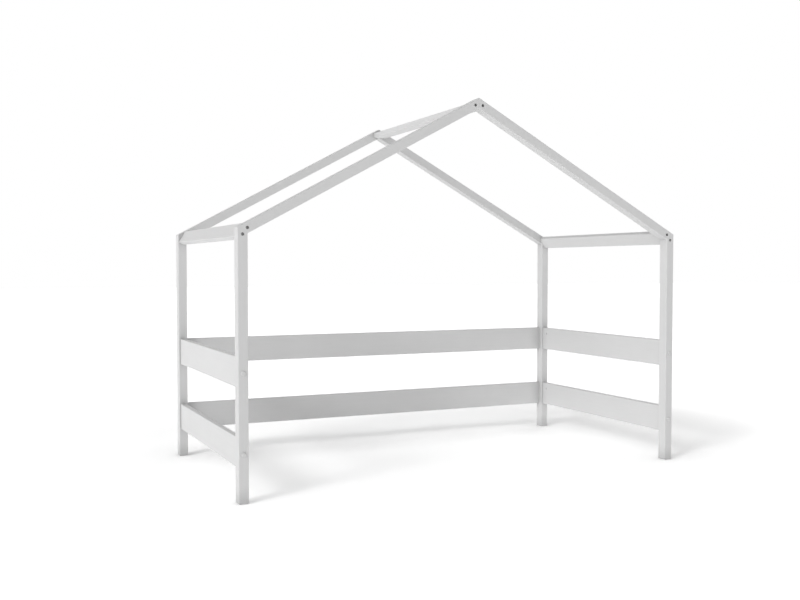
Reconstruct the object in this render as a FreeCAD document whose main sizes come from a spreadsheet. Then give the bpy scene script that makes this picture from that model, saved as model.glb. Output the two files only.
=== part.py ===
"""House frame bed for a child: two mitred gables, three roof rails and six boards.

The bed stands on the floor plane Z = 0, centred on X = 0 and Y = 0.  Its long
side runs along X, its open front faces -Y and every size is in millimetres.
"""
import FreeCAD, Part
import os

import Sketcher

doc = FreeCAD.newDocument("house_frame_bed")

# ---------------------------------------------------------------- driving sizes
SIZES = {
    # overall form of the frame
    "overall_length": 1684,
    "overall_depth": 886,
    "eaves_height": 853,
    "roof_pitch": 28.2,
    # posts and rafters share one section
    "post_wide": 32,
    "post_deep": 40,
    "post_arris": 1.5,
    "foot_chamfer": 1.5,
    # boards and rails share one thickness
    "board_thick": 20,
    "board_high": 97,
    "rail_wide": 50,
    "board_arris": 1.5,
    "lower_board_z": 105,
    "upper_board_z": 356,
    # stub tenons on the boards, and the gap left round hidden wood
    "tenon_thick": 10,
    "tenon_high": 60,
    "tenon_long": 8,
    "fit_gap": 0.1,
    # loose keys across the mitres, set in from the outer corner
    "key_thick": 4,
    "key_long": 20,
    "key_wide": 26,
    "key_inset": 14,
    # wood screws, all of one kind, with a countersunk head and a hexagon socket
    "screw_dia": 6,
    "screw_long": 60,
    "head_dia": 10,
    "head_high": 2.4,
    "head_proud": 0.3,
    "socket_wide": 4,
    "socket_deep": 2,
    # holes that the heads of the roof screws are sunk in
    "sink_dia": 10.5,
    "sink_deep": 8,
    # places of the roof screws, from the middle of each mitre
    "ridge_screw_offset": 14,
    "rafter_screw_offset": 17,
    "post_screw_offset": 12,
    # caps over the screws of the end boards
    "cap_dia": 16,
    "cap_high": 3.5,
    "cap_bevel": 2.3,
    # pin holes on the inner faces of the end boards
    "pin_hole_dia": 6,
    "pin_hole_deep": 8,
    "pin_hole_inset": 30,
    "pin_hole_rise": 22,
}

sheet = doc.addObject("Spreadsheet::Sheet", "sizes")
for row, (alias, number) in enumerate(SIZES.items(), start=1):
    sheet.set(f"A{row}", alias)
    sheet.set(f"B{row}", str(number))
    sheet.setAlias(f"B{row}", alias)
doc.recompute()


def size(formula):
    """The number that a formula of sheet sizes gives."""
    return float(sheet.evalExpression(formula))


# ---------------------------------------------------------------- shared formulas
HALF_LENGTH = "(sizes.overall_length / 2)"
HALF_DEPTH = "(sizes.overall_depth / 2)"
HALF_WIDE = "(sizes.post_wide / 2)"
HALF_DEEP = "(sizes.post_deep / 2)"
POST_X = f"({HALF_LENGTH} - {HALF_WIDE})"
POST_Y = f"({HALF_DEPTH} - {HALF_DEEP})"
CLEAR_LENGTH = "(sizes.overall_length - 2 * sizes.post_wide)"
CLEAR_DEPTH = "(sizes.overall_depth - 2 * sizes.post_deep)"

# the mitre halves the angle between a post and its rafter
MITRE_ANGLE = "((90 + sizes.roof_pitch) / 2)"
MITRE_RISE = f"({HALF_WIDE} / tan({MITRE_ANGLE}))"
MITRE_Z = f"(sizes.eaves_height - {MITRE_RISE})"
RAFTER_RUN = f"({POST_X} / cos(sizes.roof_pitch))"
RAFTER_DROP = f"({HALF_WIDE} / cos(sizes.roof_pitch))"
APEX_Z = f"(sizes.eaves_height + {HALF_LENGTH} * tan(sizes.roof_pitch))"

# the ridge rail lies level with the inner corner of the apex
RIDGE_Z = f"({APEX_Z} - 2 * {RAFTER_DROP} + sizes.board_thick / 2)"
RIDGE_SCREW_Z = f"({APEX_Z} - sizes.ridge_screw_offset * tan(sizes.roof_pitch) - {RAFTER_DROP})"

# each eaves rail stands square to its mitre, centred between its two screws
SCREW_MEAN = "((sizes.rafter_screw_offset + sizes.post_screw_offset) / 2)"
SCREW_SKEW = "((sizes.rafter_screw_offset - sizes.post_screw_offset) / 2)"
EAVES_TILT = f"(90 - {MITRE_ANGLE})"
EAVES_IN = f"({SCREW_MEAN} * cos({MITRE_ANGLE}))"
EAVES_UP = f"({SCREW_SKEW} * sin({MITRE_ANGLE}))"
EAVES_X = f"({POST_X} - {EAVES_IN} * sin({MITRE_ANGLE}) - {EAVES_UP} * cos({MITRE_ANGLE}))"
EAVES_Z = f"({MITRE_Z} - {EAVES_IN} * cos({MITRE_ANGLE}) + {EAVES_UP} * sin({MITRE_ANGLE}))"

# boards
LOWER_MID = "(sizes.lower_board_z + sizes.board_high / 2)"
UPPER_MID = "(sizes.upper_board_z + sizes.board_high / 2)"
BOARD_MIDS = {"lower": LOWER_MID, "upper": UPPER_MID}
BACK_Y = f"({HALF_DEPTH} - sizes.board_thick / 2)"

AXIS_X = FreeCAD.Vector(1, 0, 0)
AXIS_Y = FreeCAD.Vector(0, 1, 0)
AXIS_Z = FreeCAD.Vector(0, 0, 1)
ORIGIN = FreeCAD.Vector(0, 0, 0)
QUARTER_TURN = 90
HALF_TURN = 180
HEXAGON = 6


# ---------------------------------------------------------------- modelling helpers
def add_sketch(body, name, role, lift=None):
    """A sketch on one of the body's origin planes, lifted along its normal."""
    plane = next(item for item in body.Origin.OriginFeatures if item.Role == role)
    sketch = body.newObject("Sketcher::SketchObject", name)
    sketch.AttachmentSupport = [(plane, "")]
    sketch.MapMode = "FlatFace"
    if lift is not None:
        sketch.setExpression("AttachmentOffset.Base.z", lift)
    return sketch


def pin_point(sketch, geometry, vertex, formulas):
    """Dimension one point of a sketch from the sketch's origin."""
    vertical_axis, horizontal_axis = -2, -1
    tolerance = 1e-7
    for kind, axis, formula in zip(("DistanceX", "DistanceY"), (vertical_axis, horizontal_axis), formulas):
        distance = size(formula)
        if abs(distance) < tolerance:
            sketch.addConstraint(Sketcher.Constraint("PointOnObject", geometry, vertex, axis))
            continue
        ends = (-1, 1, geometry, vertex) if distance > 0 else (geometry, vertex, -1, 1)
        number = sketch.addConstraint(Sketcher.Constraint(kind, *ends, abs(distance)))
        sketch.setExpression(f"Constraints[{number}]", formula if distance > 0 else f"-({formula})")


def outline(body, name, role, corners, lift=None):
    """A closed outline of straight lines through corners given as formulas."""
    sketch = add_sketch(body, name, role, lift)
    points = [FreeCAD.Vector(size(across), size(along), 0) for across, along in corners]
    count = len(points)
    for index in range(count):
        sketch.addGeometry(Part.LineSegment(points[index], points[(index + 1) % count]), False)
    for index in range(count):
        following = (index + 1) % count
        sketch.addConstraint(Sketcher.Constraint("Coincident", index, 2, following, 1))
        pin_point(sketch, index, 1, corners[index])
    return sketch


def rectangle(body, name, role, wide, tall, centre=("0", "0"), lift=None):
    """A rectangle round a centre given as formulas."""
    left, right = f"{centre[0]} - {wide} / 2", f"{centre[0]} + {wide} / 2"
    low, high = f"{centre[1]} - {tall} / 2", f"{centre[1]} + {tall} / 2"
    corners = [(left, low), (right, low), (right, high), (left, high)]
    return outline(body, name, role, corners, lift)


def circles(body, name, role, centres, diameter, lift=None):
    """Equal circles whose centres are given as formulas."""
    sketch = add_sketch(body, name, role, lift)
    for index, centre in enumerate(centres):
        middle = FreeCAD.Vector(size(centre[0]), size(centre[1]), 0)
        sketch.addGeometry(Part.Circle(middle, AXIS_Z, size(diameter) / 2), False)
        pin_point(sketch, index, 3, centre)
        number = sketch.addConstraint(Sketcher.Constraint("Diameter", index, size(diameter)))
        sketch.setExpression(f"Constraints[{number}]", diameter)
    return sketch


def cut(body, sketch, depth=None, reverse=False):
    """A pocket from a sketch: blind where a depth is given, else right through."""
    doc.recompute()
    before = body.Shape.Volume
    pocket = body.newObject("PartDesign::Pocket", f"{sketch.Name}_pocket")
    pocket.Profile = sketch
    pocket.Reversed = reverse
    if depth is None:
        pocket.Type = "ThroughAll"
        pocket.SideType = "Symmetric"
    else:
        pocket.setExpression("Length", depth)
    body.Tip = pocket
    doc.recompute()
    if not body.Shape.Volume < before:
        raise RuntimeError(f"{pocket.Name} removes nothing")
    return pocket


def pad(body, sketch, length, both_ways=True):
    """A block from a sketch, joined to what the body already holds."""
    block = body.newObject("PartDesign::Pad", f"{sketch.Name}_pad")
    block.Profile = sketch
    block.setExpression("Length", length)
    block.SideType = "Symmetric" if both_ways else "One side"
    body.Tip = block
    doc.recompute()
    return block


def dress(body, kind, name, wanted, setting, amount):
    """Round or chamfer the edges of the body that a test picks."""
    base = body.Tip
    picked = [f"Edge{number}" for number, edge in enumerate(base.Shape.Edges, start=1) if wanted(edge)]
    finish = body.newObject(kind, name)
    finish.Base = (base, picked)
    finish.setExpression(setting, amount)
    body.Tip = finish
    doc.recompute()
    return finish


def stick(name, role, wide, tall, length):
    """A post or rafter blank standing on its origin, with a small arris along its edges."""
    body = doc.addObject("PartDesign::Body", name)
    pad(body, rectangle(body, f"{name}_section", role, wide, tall), length, both_ways=False)
    full = size(length)
    dress(body, "PartDesign::Chamfer", f"{name}_arris",
          lambda edge: abs(edge.Length - full) < 1e-4, "Size", "sizes.post_arris")
    return body


def plank(name, role, wide, tall, length):
    """A board or rail centred on its origin, with a small arris along its edges."""
    body = doc.addObject("PartDesign::Body", name)
    pad(body, rectangle(body, f"{name}_section", role, wide, tall), length)
    full = size(length)
    dress(body, "PartDesign::Chamfer", f"{name}_arris",
          lambda edge: abs(edge.Length - full) < 1e-4, "Size", "sizes.board_arris")
    return body


def turned(name, corners):
    """A turned piece: its half section, in radius and height, swept round Z."""
    body = doc.addObject("PartDesign::Body", name)
    section = outline(body, f"{name}_section", "XZ_Plane", corners)
    turn = body.newObject("PartDesign::Revolution", f"{name}_turn")
    turn.Profile = section
    turn.ReferenceAxis = (section, ["V_Axis"])
    body.Tip = turn
    doc.recompute()
    return body


def place(body, x="0", y="0", z="0", axis=None, angle=None):
    """Put a piece at its place; the numbers stay bound to the sheet."""
    if axis is not None:
        body.Placement = FreeCAD.Placement(ORIGIN, FreeCAD.Rotation(axis, size(angle)))
        body.setExpression("Placement.Rotation.Angle", angle)
    for letter, formula in zip("xyz", (x, y, z)):
        body.setExpression(f"Placement.Base.{letter}", formula)
    doc.recompute()


nodes = []


def keep(piece, label):
    """Mark a finished sub-part: its label names its file."""
    piece.Label = label
    nodes.append(piece)
    return piece


def mirrored(source, label, normal):
    """The mirror image of a piece through the middle of the bed."""
    image = doc.addObject("Part::Mirroring", label)
    image.Source = source
    image.Base = ORIGIN
    image.Normal = normal
    doc.recompute()
    return keep(image, label)


def copies(name, blank, spots):
    """Separate copies of a blank at the given placements."""
    feature = doc.addObject("Part::Feature", name)
    feature.Shape = Part.makeCompound([blank.Shape.transformed(spot.toMatrix()) for spot in spots])
    return feature


# ---------------------------------------------------------------- mitre keys
def key_block(name, play):
    """A loose key on its own middle: X thickness, Y width, Z across the mitre."""
    body = doc.addObject("PartDesign::Body", name)
    section = rectangle(body, f"{name}_section", "XZ_Plane",
                        f"(sizes.key_thick + 2 * {play})", f"(sizes.key_long + 2 * {play})")
    pad(body, section, f"sizes.key_wide + 2 * {play}")
    return body


def eaves_key_spot(side, end):
    """Where a key crosses the mitre of a post and its rafter."""
    inset = size(f"sizes.key_inset - {HALF_WIDE} / sin({MITRE_ANGLE})")
    x = size(POST_X) - inset * size(f"sin({MITRE_ANGLE})")
    z = size(MITRE_Z) - inset * size(f"cos({MITRE_ANGLE})")
    tilt = FreeCAD.Rotation(AXIS_Y, -side * size(EAVES_TILT))
    return FreeCAD.Placement(FreeCAD.Vector(side * x, end * size(POST_Y), z), tilt)


def apex_key_spot(end):
    """Where a key crosses the plumb joint of two rafters."""
    centre = FreeCAD.Vector(0, end * size(POST_Y), size(f"{APEX_Z} - sizes.key_inset"))
    return FreeCAD.Placement(centre, FreeCAD.Rotation(AXIS_Y, QUARTER_TURN))


LEFT, RIGHT, FRONT, REAR = -1, 1, -1, 1
key = key_block("key_blank", "0")
key_cutter = key_block("key_cutter", "sizes.fit_gap")


def slot_mitres(piece, name, spots):
    """Cut half of each key's slot into a post or rafter."""
    slotted = doc.addObject("Part::Cut", f"{name}_slotted")
    slotted.Base = piece
    slotted.Tool = copies(f"{name}_slots", key_cutter, spots)
    doc.recompute()
    return slotted


# ---------------------------------------------------------------- posts
def sink_heads(body, name, centres):
    """Blind holes for screw heads in the face towards the outside, at local -Y."""
    cut(body, circles(body, f"{name}_sinks", "XZ_Plane", centres, "sizes.sink_dia", lift=HALF_DEEP),
        "sizes.sink_deep")


def mortises(body, name, role, across, face, reverse):
    """Mortises for the lower and the upper board in one face of a post."""
    for level, middle in BOARD_MIDS.items():
        mouth = rectangle(body, f"{name}_{level}", role, "(sizes.tenon_thick + 2 * sizes.fit_gap)",
                          "(sizes.tenon_high + 2 * sizes.fit_gap)", centre=(across, middle), lift=face)
        cut(body, mouth, "sizes.tenon_long + sizes.fit_gap", reverse)


def post(name, takes_back_boards):
    """A post as at the front left: outer face at -X, screw heads at -Y, foot at Z = 0."""
    body = stick(name, "XY_Plane", "sizes.post_wide", "sizes.post_deep", "sizes.eaves_height")
    dress(body, "PartDesign::Chamfer", f"{name}_foot",
          lambda edge: edge.BoundBox.ZMax < 1e-6, "Size", "sizes.foot_chamfer")

    over = "sizes.post_wide"
    high = f"(sizes.eaves_height + {MITRE_RISE})"
    low = f"(sizes.eaves_height - 3 * {MITRE_RISE})"
    cut(body, outline(body, f"{name}_mitre", "XZ_Plane",
                      [(f"-{over}", high), (over, high), (over, low)]))

    sink_heads(body, name, [("0", f"{MITRE_Z} - sizes.post_screw_offset")])
    mortises(body, f"{name}_end", "XZ_Plane", "0", f"-{HALF_DEEP}", reverse=True)
    if takes_back_boards:
        mortises(body, f"{name}_back", "YZ_Plane", f"(sizes.board_thick / 2 - {HALF_DEEP})",
                 HALF_WIDE, reverse=False)
    return body


front_post = post("front_post", takes_back_boards=False)
place(front_post, x=f"-{POST_X}", y=f"-{POST_Y}")
front_left = keep(slot_mitres(front_post, "front_post", [eaves_key_spot(LEFT, FRONT)]), "post_front_left")
mirrored(front_left, "post_front_right", AXIS_X)

rear_post = post("rear_post", takes_back_boards=True)
place(rear_post, x=POST_X, y=POST_Y, axis=AXIS_Z, angle=f"{HALF_TURN}")
rear_right = keep(slot_mitres(rear_post, "rear_post", [eaves_key_spot(RIGHT, REAR)]), "post_rear_right")
mirrored(rear_right, "post_rear_left", AXIS_X)


# ---------------------------------------------------------------- rafters
def rafter(name):
    """The front left rafter: local Z runs up the slope, local +X faces the room."""
    over = "sizes.post_wide"
    long = f"({RAFTER_RUN} + 2 * {over})"
    body = stick(name, "XY_Plane", "sizes.post_wide", "sizes.post_deep", long)

    outer = f"({over} - 2 * {MITRE_RISE})"
    inner = f"({over} + 2 * {MITRE_RISE})"
    cut(body, outline(body, f"{name}_eaves_mitre", "XZ_Plane",
                      [(f"-{over}", outer), (over, inner), (over, f"-{over}"), (f"-{over}", f"-{over}")]))
    lean = f"({over} * tan(sizes.roof_pitch))"
    top = f"({over} + {RAFTER_RUN})"
    cut(body, outline(body, f"{name}_apex_mitre", "XZ_Plane",
                      [(f"-{over}", f"{top} + {lean}"), (over, f"{top} - {lean}"),
                       (over, f"{long} + {over}"), (f"-{over}", f"{long} + {over}")]))

    sink_heads(body, name, [("0", f"{over} + sizes.rafter_screw_offset"),
                            ("0", f"{top} - sizes.ridge_screw_offset / cos(sizes.roof_pitch)")])
    place(body, x=f"-{POST_X} - {over} * cos(sizes.roof_pitch)", y=f"-{POST_Y}",
          z=f"{MITRE_Z} - {over} * sin(sizes.roof_pitch)",
          axis=AXIS_Y, angle=f"{QUARTER_TURN} - sizes.roof_pitch")
    return body


rafter_keys = [eaves_key_spot(LEFT, FRONT), apex_key_spot(FRONT)]
rafter_left = keep(slot_mitres(rafter("rafter"), "rafter", rafter_keys), "rafter_front_left")
rafter_right = mirrored(rafter_left, "rafter_front_right", AXIS_X)
mirrored(rafter_left, "rafter_rear_left", AXIS_Y)
mirrored(rafter_right, "rafter_rear_right", AXIS_Y)

# ---------------------------------------------------------------- roof rails
ridge = plank("ridge", "XZ_Plane", "sizes.rail_wide", "sizes.board_thick", CLEAR_DEPTH)
place(ridge, z=RIDGE_Z)
keep(ridge, "ridge_rail")

eaves = plank("eaves", "XZ_Plane", "sizes.board_thick", "sizes.rail_wide", CLEAR_DEPTH)
place(eaves, x=f"-{EAVES_X}", z=EAVES_Z, axis=AXIS_Y, angle=EAVES_TILT)
keep(eaves, "eaves_rail_left")
mirrored(eaves, "eaves_rail_right", AXIS_X)


# ---------------------------------------------------------------- boards
def tenoned_board(name, role, clear):
    """A board with a stub tenon at each end, centred on its own middle."""
    body = plank(name, role, "sizes.board_thick", "sizes.board_high", clear)
    tongue = rectangle(body, f"{name}_tenons", role, "sizes.tenon_thick", "sizes.tenon_high")
    pad(body, tongue, f"{clear} + 2 * sizes.tenon_long")
    return body


def end_board(name, middle):
    """A left end board, centred in the width of its posts."""
    body = tenoned_board(name, "XZ_Plane", CLEAR_DEPTH)
    away = f"({CLEAR_DEPTH} / 2 - sizes.pin_hole_inset)"
    holes = [(away, "sizes.pin_hole_rise"), (f"-{away}", "sizes.pin_hole_rise")]
    cut(body, circles(body, f"{name}_pin_holes", "YZ_Plane", holes, "sizes.pin_hole_dia",
                      lift="sizes.board_thick / 2"), "sizes.pin_hole_deep")
    place(body, x=f"-{POST_X}", z=middle)
    return body


for level, middle in BOARD_MIDS.items():
    board = end_board(f"end_board_{level}", middle)
    keep(board, f"end_board_left_{level}")
    mirrored(board, f"end_board_right_{level}", AXIS_X)
    back_board = tenoned_board(f"long_board_{level}", "YZ_Plane", CLEAR_LENGTH)
    place(back_board, y=BACK_Y, z=middle)
    keep(back_board, f"back_board_{level}")

# ---------------------------------------------------------------- fastener blanks
# A screw's head is at its seat, Z = 0, and its shank points down.
head_radius = "sizes.head_dia / 2"
shank_radius = "sizes.screw_dia / 2"
screw = turned("screw_blank", [("0", "-sizes.screw_long"), (shank_radius, "-sizes.screw_long"),
                               (shank_radius, "sizes.head_proud - sizes.head_high"),
                               (head_radius, "sizes.head_proud"), ("0", "sizes.head_proud")])
socket_radius = "sizes.socket_wide / sqrt(3)"
socket_corners = [(f"{socket_radius} * cos({step} * 360 / {HEXAGON})",
                   f"{socket_radius} * sin({step} * 360 / {HEXAGON})") for step in range(HEXAGON)]
cut(screw, outline(screw, "screw_socket", "XY_Plane", socket_corners, lift="sizes.head_proud"),
    "sizes.socket_deep")

cap_radius = "sizes.cap_dia / 2"
cap = turned("cap_blank", [("0", "0"), (cap_radius, "0"), (cap_radius, "sizes.cap_high - sizes.cap_bevel"),
                           (f"{cap_radius} - sizes.cap_bevel", "sizes.cap_high"),
                           ("0", "sizes.cap_high")])


# ---------------------------------------------------------------- fastener places
def both_faces(points, distance):
    """Placements that point out of the front and of the rear on (x, z) points."""
    spots = []
    for end in (FRONT, REAR):
        turn = FreeCAD.Rotation(AXIS_X, -end * QUARTER_TURN)
        spots += [FreeCAD.Placement(FreeCAD.Vector(x, end * distance, z), turn) for x, z in points]
    return spots


roof_points = []
board_points = []
reach = size("sizes.rafter_screw_offset")
for side in (LEFT, RIGHT):
    rafter_x = size(POST_X) - reach * size("cos(sizes.roof_pitch)")
    rafter_z = size(MITRE_Z) + reach * size("sin(sizes.roof_pitch)")
    roof_points.append((side * size("sizes.ridge_screw_offset"), size(RIDGE_SCREW_Z)))
    roof_points.append((side * rafter_x, rafter_z))
    roof_points.append((side * size(POST_X), size(f"{MITRE_Z} - sizes.post_screw_offset")))
    board_points += [(side * size(POST_X), size(middle)) for middle in BOARD_MIDS.values()]

# the roof screws sit in their holes; those of the end boards are flush under their caps
sunk_seat = size(f"{HALF_DEPTH} - sizes.sink_deep")
keep(copies("roof_screws", screw, both_faces(roof_points, sunk_seat)), "roof_screws")
flush_seat = size(f"{HALF_DEPTH} - sizes.head_proud")
keep(copies("end_board_screws", screw, both_faces(board_points, flush_seat)), "end_board_screws")
keep(copies("screw_caps", cap, both_faces(board_points, size(HALF_DEPTH))), "screw_caps")

key_spots = [apex_key_spot(end) for end in (FRONT, REAR)]
key_spots += [eaves_key_spot(side, end) for side in (LEFT, RIGHT) for end in (FRONT, REAR)]
keep(copies("mitre_keys", key, key_spots), "mitre_keys")

# ---------------------------------------------------------------- checks and files
doc.recompute()
faults = [item.Name for item in doc.Objects if {"Invalid", "Error"} & set(item.State)]
if faults:
    raise RuntimeError(f"failed objects: {faults}")
os.makedirs("parts", exist_ok=True)
for node in nodes:
    if node.Shape.isNull() or not node.Shape.isValid():
        raise RuntimeError(f"{node.Label} has no valid shape")
    node.Shape.exportStep(f"parts/{node.Label}.step")
    print(node.Label, len(node.Shape.Solids), round(node.Shape.Volume))
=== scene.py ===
"""White house frame bed in a pale studio: finishes, light and camera over the CAD frame."""

import math

import bmesh
import bpy
from mathutils import Euler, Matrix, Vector


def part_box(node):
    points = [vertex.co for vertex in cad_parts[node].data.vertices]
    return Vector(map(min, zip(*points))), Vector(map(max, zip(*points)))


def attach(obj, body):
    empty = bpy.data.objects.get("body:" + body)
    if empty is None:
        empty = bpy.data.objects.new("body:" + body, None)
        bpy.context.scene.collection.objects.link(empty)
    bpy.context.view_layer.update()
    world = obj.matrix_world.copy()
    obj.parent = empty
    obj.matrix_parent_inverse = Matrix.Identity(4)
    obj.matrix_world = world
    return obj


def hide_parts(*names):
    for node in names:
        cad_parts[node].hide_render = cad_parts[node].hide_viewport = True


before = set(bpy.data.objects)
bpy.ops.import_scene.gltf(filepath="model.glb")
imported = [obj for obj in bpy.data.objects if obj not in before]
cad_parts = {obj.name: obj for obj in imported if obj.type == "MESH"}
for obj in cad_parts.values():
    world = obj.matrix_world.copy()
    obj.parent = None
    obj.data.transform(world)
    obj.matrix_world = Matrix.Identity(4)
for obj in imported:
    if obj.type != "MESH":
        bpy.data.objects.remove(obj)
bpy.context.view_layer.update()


def link_object(name, data):
    """A new object in the scene, with its mesh, camera or lamp."""
    made = bpy.data.objects.new(name, data)
    bpy.context.scene.collection.objects.link(made)
    return made


# ---------------------------------------------------------------- camera
CAMERA_AT = Vector((-1.6348, -3.3253, 0.7326))
CAMERA_YAW = math.radians(-24.901)
CAMERA_PITCH = math.radians(-1.988)
SENSOR_WIDE = 36.0
LENS = 43.526

camera_data = bpy.data.cameras.new("camera")
camera_data.sensor_width = SENSOR_WIDE
camera_data.lens = LENS
camera = link_object("camera", camera_data)
camera.location = CAMERA_AT
camera.rotation_euler = Euler((math.pi / 2 + CAMERA_PITCH, 0.0, CAMERA_YAW))
bpy.context.scene.camera = camera

# ---------------------------------------------------------------- node helpers
OPENNESS_SAMPLES = 8


def fresh_tree(owner):
    """An empty node tree on a material or world."""
    owner.use_nodes = True
    owner.node_tree.nodes.clear()
    return owner.node_tree


def add(tree, kind, inputs=None, **settings):
    """A node with its settings and with values or links on its inputs."""
    node = tree.nodes.new(kind)
    for name, value in settings.items():
        setattr(node, name, value)
    for name, value in (inputs or {}).items():
        if isinstance(value, bpy.types.NodeSocket):
            tree.links.new(value, node.inputs[name])
        else:
            node.inputs[name].default_value = value
    return node


def math_node(tree, operation, first, second):
    """The result of one sum on two sockets or numbers."""
    return add(tree, "ShaderNodeMath", {0: first, 1: second}, operation=operation).outputs[0]


def scaled(tree, factor, amount, base):
    """A factor times an amount, plus a base."""
    return math_node(tree, "ADD", math_node(tree, "MULTIPLY", factor, amount), base)


def grey(level):
    """A neutral colour of one linear level."""
    return (level, level, level, 1.0)


def ramp(tree, factor, stops):
    """A grey ramp between two stops, each given as (position, level)."""
    node = add(tree, "ShaderNodeValToRGB", {"Fac": factor})
    for element, (position, level) in zip(node.color_ramp.elements, stops):
        element.position = position
        element.color = grey(level)
    return node.outputs["Color"]


def mapped(tree, place, inputs, kind="POINT"):
    """A place that is moved, turned or stretched by what the inputs give."""
    return add(tree, "ShaderNodeMapping", {"Vector": place, **inputs}, vector_type=kind).outputs["Vector"]


def noise(tree, place, inputs):
    """Grey noise over a place, with the scale, detail and roughness that the inputs give."""
    return add(tree, "ShaderNodeTexNoise", {"Vector": place, **inputs}).outputs["Fac"]


def bump(tree, height, inputs):
    """A normal bumped by a height; inputs may hold another normal under it."""
    return add(tree, "ShaderNodeBump", {"Height": height, **inputs}).outputs["Normal"]


def openness(tree, reach):
    """1 where nothing stands within reach of a surface, and less in its corners."""
    node = add(tree, "ShaderNodeAmbientOcclusion", {"Distance": reach}, samples=OPENNESS_SAMPLES)
    return node.outputs["AO"]


# ---------------------------------------------------------------- painted wood
PAINT_LEVEL = 0.80
SATIN = 0.35
ROUGH_STOPS = ((0.2, 0.42), (0.8, 0.55))
# the shade in the corners: how far it reaches, and the most that it takes from the paint's colour
CORNER_REACH = 0.06
CORNER_SHADE = 0.55
# grain and clouds together move the paint a little below and above its level
GRAIN_SHARE = 0.5
TONE_STOPS = ((0.25, PAINT_LEVEL * 0.97), (0.75, PAINT_LEVEL * 1.02))
# the grain's noise is finer across the wood than along it
ALONG = 2.5
ACROSS = 60.0
DRAWN_OUT = {"x": (ALONG, ACROSS, ACROSS), "y": (ACROSS, ALONG, ACROSS), "z": (ACROSS, ACROSS, ALONG)}
GRAIN_NOISE = {"Scale": 4.0, "Detail": 6.0, "Roughness": 0.6}
FIBRE_NOISE = {"Scale": 22.0, "Detail": 3.0}
CLOUD_NOISE = {"Scale": 9.0, "Detail": 2.0}
PEEL_NOISE = {"Scale": 420.0, "Detail": 2.0}
GRAIN_BUMP = {"Strength": 0.10, "Distance": 0.0006}
FIBRE_BUMP = {"Strength": 0.08, "Distance": 0.0003}
PEEL_BUMP = {"Strength": 0.05, "Distance": 0.0002}

# for each run of the grain: the turn about Y that lays it along an axis, and that axis
ROOF_PITCH = math.radians(28.2)
GRAIN = {"upright": (0.0, "z"), "deep": (0.0, "y"), "long": (0.0, "x"),
         "rising": (ROOF_PITCH, "x"), "falling": (-ROOF_PITCH, "x")}


def painted_wood(run):
    """White satin paint over softwood: faint raised grain, a fine peel and some shade in the corners."""
    material = bpy.data.materials.new(f"painted_wood_{run}")
    tree = fresh_tree(material)
    turn, axis = GRAIN[run]
    place = add(tree, "ShaderNodeTexCoord").outputs["Object"]
    turned = mapped(tree, place, {"Rotation": (0.0, turn, 0.0)})
    stretched = mapped(tree, turned, {"Scale": DRAWN_OUT[axis]})
    grain = noise(tree, stretched, GRAIN_NOISE)
    fibres = noise(tree, stretched, FIBRE_NOISE)
    clouds = noise(tree, place, CLOUD_NOISE)
    peel = noise(tree, place, PEEL_NOISE)

    tone = scaled(tree, grain, GRAIN_SHARE, math_node(tree, "MULTIPLY", clouds, 1.0 - GRAIN_SHARE))
    coat = ramp(tree, tone, TONE_STOPS)
    shade = scaled(tree, openness(tree, CORNER_REACH), CORNER_SHADE, 1.0 - CORNER_SHADE)
    colour = add(tree, "ShaderNodeVectorMath", {0: coat, 1: shade}, operation="MULTIPLY").outputs["Vector"]

    grained = bump(tree, grain, GRAIN_BUMP)
    fibrous = bump(tree, fibres, {**FIBRE_BUMP, "Normal": grained})
    peeled = bump(tree, peel, {**PEEL_BUMP, "Normal": fibrous})
    shader = add(tree, "ShaderNodeBsdfPrincipled", {"Base Color": colour, "Normal": peeled,
                                                    "Roughness": ramp(tree, fibres, ROUGH_STOPS)})
    shader.inputs["Specular IOR Level"].default_value = SATIN
    add(tree, "ShaderNodeOutputMaterial", {"Surface": shader.outputs["BSDF"]})
    return material


# ---------------------------------------------------------------- fasteners
MOTTLE_NOISE = {"Scale": 600.0, "Detail": 3.0}
MOTTLE_BUMP = {"Strength": 0.05, "Distance": 0.0001}
# the mottle moves the roughness between these shares of it
MOTTLE_STOPS = ((0.2, 0.85), (0.8, 1.15))
WHITE = (1.0, 1.0, 1.0)
BEECH = (1.0, 0.72, 0.45)


def plain_finish(name, level, roughness, metallic=0.0, tint=WHITE):
    """A fastener's finish with a fine mottled roughness."""
    material = bpy.data.materials.new(name)
    tree = fresh_tree(material)
    place = add(tree, "ShaderNodeTexCoord").outputs["Object"]
    mottle = noise(tree, place, MOTTLE_NOISE)
    stops = [(position, roughness * share) for position, share in MOTTLE_STOPS]
    shader = add(tree, "ShaderNodeBsdfPrincipled", {"Roughness": ramp(tree, mottle, stops),
                                                    "Normal": bump(tree, mottle, MOTTLE_BUMP)})
    shader.inputs["Base Color"].default_value = (level * tint[0], level * tint[1], level * tint[2], 1.0)
    shader.inputs["Metallic"].default_value = metallic
    shader.inputs["Specular IOR Level"].default_value = SATIN
    add(tree, "ShaderNodeOutputMaterial", {"Surface": shader.outputs["BSDF"]})
    return material


# ---------------------------------------------------------------- finishes on the CAD nodes
paint = {run: painted_wood(run) for run in GRAIN}
steel = plain_finish("zinc_steel", level=0.25, roughness=0.4, metallic=1.0)
beech = plain_finish("bare_beech", level=0.5, roughness=0.6, tint=BEECH)
plastic = plain_finish("white_plastic", level=0.77, roughness=0.4)
unpainted = {"roof_screws": steel, "end_board_screws": steel, "mitre_keys": beech, "screw_caps": plastic}


def finish_for(node_name):
    """The finish of a CAD node, chosen by what it is and which way its grain runs."""
    if node_name in unpainted:
        return unpainted[node_name]
    if node_name.startswith("post"):
        return paint["upright"]
    if node_name.startswith("rafter"):
        return paint["rising" if node_name.endswith("left") else "falling"]
    return paint["long" if node_name.startswith("back_board") else "deep"]


for node_name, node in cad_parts.items():
    for slot in node.material_slots:
        slot.material = finish_for(node_name)

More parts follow.
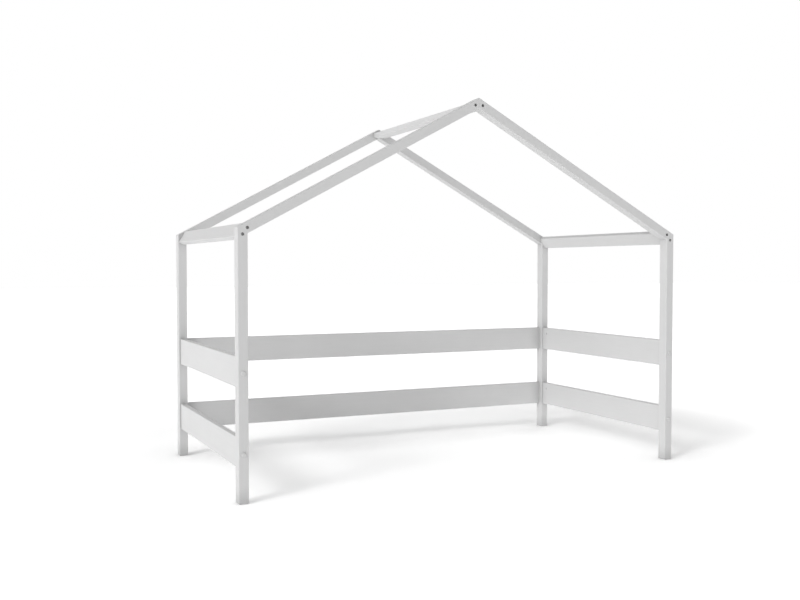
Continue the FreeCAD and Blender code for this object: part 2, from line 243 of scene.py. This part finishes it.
# ---------------------------------------------------------------- end boards
# the photo shows a pin hole near the rear end of each right end board and none near its front end, so all
# four end boards have the front one filled flush; its place and size are those of the CAD part
TENON_LONG = 0.008
PIN_INSET = 0.030
PIN_RISE = 0.022
PIN_RADIUS = 0.003
# how far a corner of the hole may lie outside its radius, and how near two corners are one
SLACK = 0.0002
WELD = 0.000001


def board_with_rear_hole(node_name):
    """The end board of a CAD node, made again without the pin hole near its front end."""
    low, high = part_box(node_name)
    hole_y = low[1] + TENON_LONG + PIN_INSET
    hole_z = (low[2] + high[2]) / 2 + PIN_RISE
    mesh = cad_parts[node_name].data.copy()
    shape = bmesh.new()
    shape.from_mesh(mesh)
    bmesh.ops.remove_doubles(shape, verts=shape.verts, dist=WELD)
    corners = {vert for vert in shape.verts
               if math.hypot(vert.co.y - hole_y, vert.co.z - hole_z) < PIN_RADIUS + SLACK}
    bore = [face for face in shape.faces if corners.issuperset(face.verts)]
    bmesh.ops.delete(shape, geom=bore, context="FACES")
    bmesh.ops.holes_fill(shape, edges=[edge for edge in shape.edges if edge.is_boundary], sides=0)
    shape.to_mesh(mesh)
    shape.free()
    board = link_object(f"{node_name}_drilled", mesh)
    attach(board, "root")
    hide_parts(node_name)


for side in ("left", "right"):
    for level in ("lower", "upper"):
        board_with_rear_hole(f"end_board_{side}_{level}")


# ---------------------------------------------------------------- studio helpers
def seen_directly(tree):
    """1 for what the camera sees, also in a mirror or through glass, and 0 for all other light."""
    path = add(tree, "ShaderNodeLightPath").outputs
    reflected = math_node(tree, "MAXIMUM", path["Is Glossy Ray"], path["Is Transmission Ray"])
    return math_node(tree, "MAXIMUM", path["Is Camera Ray"], reflected)


def outside(tree, spot, middle, half, border):
    """0 within an ellipse on the floor and 1 beyond it, softly across a border given in its half sizes."""
    spread = mapped(tree, spot, {"Location": middle, "Scale": half}, "TEXTURE")
    away = add(tree, "ShaderNodeVectorMath", {0: spread}, operation="LENGTH").outputs["Value"]
    near, far = border
    return add(tree, "ShaderNodeMapRange", {"Value": away, "From Min": near, "From Max": far},
               interpolation_type="SMOOTHSTEP").outputs["Result"]


def for_camera(tree, elsewhere, to_camera):
    """One shader for what the camera sees, and another for the light that falls elsewhere."""
    seen = seen_directly(tree)
    return add(tree, "ShaderNodeMixShader", {0: seen, 1: elsewhere, 2: to_camera}).outputs[0]


def white_glow(tree, strength):
    """White light given off at a strength."""
    return add(tree, "ShaderNodeEmission", {"Color": grey(1.0), "Strength": strength}).outputs[0]


# ---------------------------------------------------------------- floor
FLOOR_HALF = 30.0
# the floor's colour for the camera, over 1 so that it shows as white in this weak light
FLOOR_CAMERA = 2.15
# the floor's colour and its own glow for the light that it throws up at the bed
FLOOR_ALBEDO = 0.8
FLOOR_GLOW = 0.51
# the floor throws less light up where the bed shelters it
SHELTER_LOSS = 0.38
SHELTER_MIDDLE = (-0.18, 0.38, 0.0)
SHELTER_HALF = (0.62, 0.50, 1.0)
SHELTER_BORDER = (0.5, 1.5)
# soft shade on the floor close under the boards and round the feet
CONTACT_REACH = 0.30
CONTACT_SHADE = 0.85
# the part of the floor that keeps the bed's shadow; beyond it the floor fades into the white background
SHADE_MIDDLE = (0.19, 0.40, 0.0)
SHADE_HALF = (1.45, 1.1, 1.0)
SHADE_BORDER = (0.85, 1.35)
FLOOR_FADE = 0.25


def floor_white():
    """White floor: the camera sees it with the bed's shadow, and it throws soft light up at the bed."""
    material = bpy.data.materials.new("floor_white")
    tree = fresh_tree(material)
    spot = add(tree, "ShaderNodeNewGeometry").outputs["Position"]

    beyond = outside(tree, spot, SHADE_MIDDLE, SHADE_HALF, SHADE_BORDER)
    fade = white_glow(tree, math_node(tree, "MULTIPLY", beyond, FLOOR_FADE))
    bare = scaled(tree, openness(tree, CONTACT_REACH), CONTACT_SHADE, 1.0 - CONTACT_SHADE)
    bright = math_node(tree, "MULTIPLY", bare, FLOOR_CAMERA)
    shaded = add(tree, "ShaderNodeBsdfDiffuse", {"Color": bright})
    to_camera = add(tree, "ShaderNodeAddShader", {0: shaded.outputs[0], 1: fade}).outputs[0]

    open_floor = outside(tree, spot, SHELTER_MIDDLE, SHELTER_HALF, SHELTER_BORDER)
    glow = white_glow(tree, scaled(tree, open_floor, SHELTER_LOSS, FLOOR_GLOW - SHELTER_LOSS))
    matt = add(tree, "ShaderNodeBsdfDiffuse", {"Color": grey(FLOOR_ALBEDO)})
    to_bed = add(tree, "ShaderNodeAddShader", {0: matt.outputs[0], 1: glow}).outputs[0]

    add(tree, "ShaderNodeOutputMaterial", {"Surface": for_camera(tree, to_bed, to_camera)})
    return material


floor_mesh = bpy.data.meshes.new("floor")
floor_mesh.from_pydata([(-FLOOR_HALF, -FLOOR_HALF, 0), (FLOOR_HALF, -FLOOR_HALF, 0),
                        (FLOOR_HALF, FLOOR_HALF, 0), (-FLOOR_HALF, FLOOR_HALF, 0)], [], [(0, 1, 2, 3)])
floor_mesh.materials.append(floor_white())
floor = link_object("floor", floor_mesh)

# ---------------------------------------------------------------- room
# the room's light from each side and from above; none comes from straight in front, behind or below
ROOM_LEFT = 0.44
ROOM_RIGHT = 0.52
ROOM_TOP = 0.14


def studio_world():
    """The room: weak light from the sides and above, and a white background for the camera."""
    world = bpy.data.worlds.new("studio")
    tree = fresh_tree(world)
    direction = add(tree, "ShaderNodeTexCoord").outputs["Generated"]
    toward = add(tree, "ShaderNodeSeparateXYZ", {0: direction}).outputs
    strength = math_node(tree, "MULTIPLY", math_node(tree, "MAXIMUM", toward["Z"], 0.0), ROOM_TOP)
    for sign, power in ((-1.0, ROOM_LEFT), (1.0, ROOM_RIGHT)):
        lobe = math_node(tree, "MAXIMUM", math_node(tree, "MULTIPLY", toward["X"], sign), 0.0)
        strength = math_node(tree, "ADD", strength, math_node(tree, "MULTIPLY", lobe, power))
    room = add(tree, "ShaderNodeBackground", {"Color": grey(1.0), "Strength": strength}).outputs[0]
    white = add(tree, "ShaderNodeBackground", {"Color": grey(1.0), "Strength": 1.0}).outputs[0]
    add(tree, "ShaderNodeOutputWorld", {"Surface": for_camera(tree, room, white)})
    return world


bpy.context.scene.world = studio_world()

# ---------------------------------------------------------------- lamps
# the key comes from the left, low and a little from the front: a core and a wide rim, each with its power
# and its width in degrees
KEY_FROM = Vector((-0.795, -0.393, 0.462))
KEY_PARTS = {"key_core": (0.54, 16), "key_rim": (0.36, 45)}
# two weak softboxes, at the left and in front, each with its place and power; they face the middle of the
# bed's back and make what is near them a little brighter
BOX_WIDE = 3.0
BOX_AIM = Vector((0.0, 0.44, 0.5))
SOFTBOXES = {"box_left": (Vector((-4.5, 0.0, 1.2)), 13.0), "box_front": (Vector((0.0, -4.5, 0.6)), 10.0)}

for name, (power, degrees) in KEY_PARTS.items():
    sun = bpy.data.lights.new(name, "SUN")
    sun.energy = power
    sun.angle = math.radians(degrees)
    key = link_object(name, sun)
    key.rotation_euler = KEY_FROM.to_track_quat("Z", "Y").to_euler()

for name, (place, power) in SOFTBOXES.items():
    area = bpy.data.lights.new(name, "AREA")
    area.energy = power
    area.size = BOX_WIDE
    softbox = link_object(name, area)
    softbox.location = place
    softbox.rotation_euler = (BOX_AIM - place).to_track_quat("-Z", "Y").to_euler()

# ---------------------------------------------------------------- colour view
view = bpy.context.scene.view_settings
view.view_transform = "Standard"
